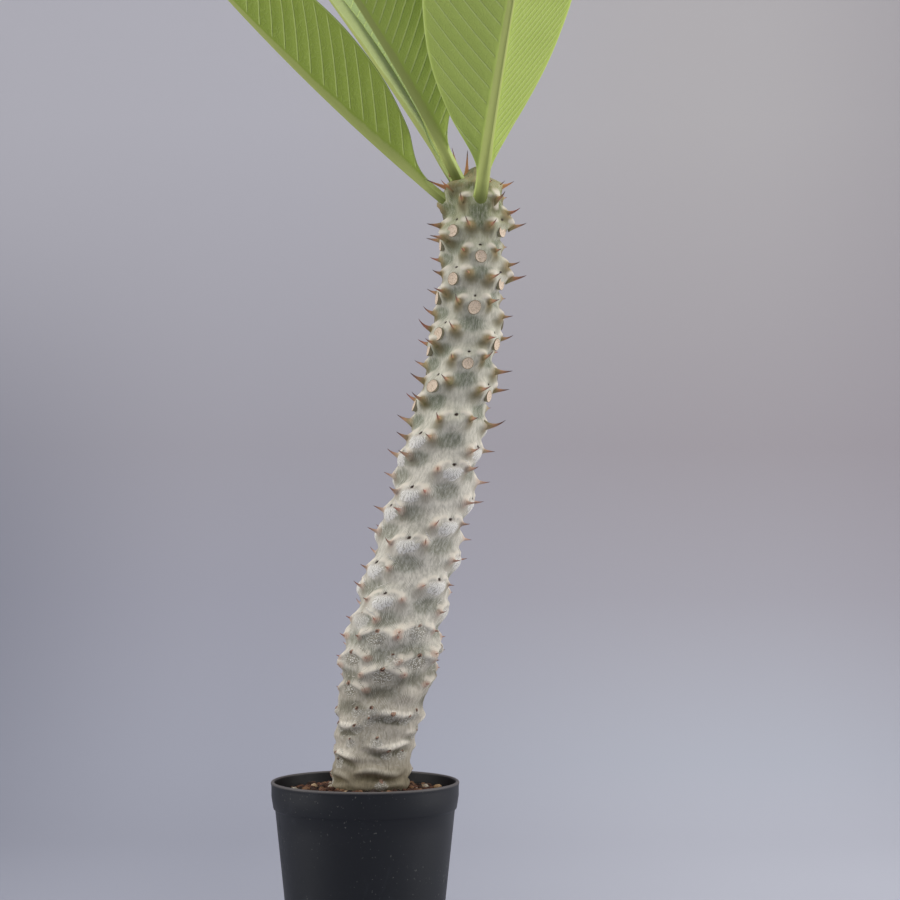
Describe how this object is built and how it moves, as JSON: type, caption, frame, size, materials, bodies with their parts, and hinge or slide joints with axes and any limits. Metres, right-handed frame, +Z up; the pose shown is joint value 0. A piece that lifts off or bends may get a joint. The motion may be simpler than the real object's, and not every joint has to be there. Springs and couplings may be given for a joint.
{
  "type": "potted pachypodium baronii",
  "caption": "Succulent with one thick spiny leaning stem and a crown of large obovate leaves, growing in grit in a round plastic nursery pot.",
  "frame": {"origin": "centre of the pot's foot", "axes": "+Z up, the stem leans towards +X, and the front seen in the picture faces -Y"},
  "size_m": [0.1869, 0.1983, 0.4999],
  "materials": {
    "pot_plastic": "satin",
    "soil_grit": "matte",
    "stem_bark": "matte",
    "leaf": "satin"
  },
  "bodies": {
    "root": {"pot": "pot_plastic", "soil": "soil_grit", "stem": "stem_bark", "leaf_front": "leaf", "leaf_left": "leaf", "leaf_left_front": "leaf", "leaf_left_back": "leaf", "leaf_back": "leaf", "leaf_young_right": "leaf", "leaf_young_back": "leaf"}
  },
  "joints": []
}
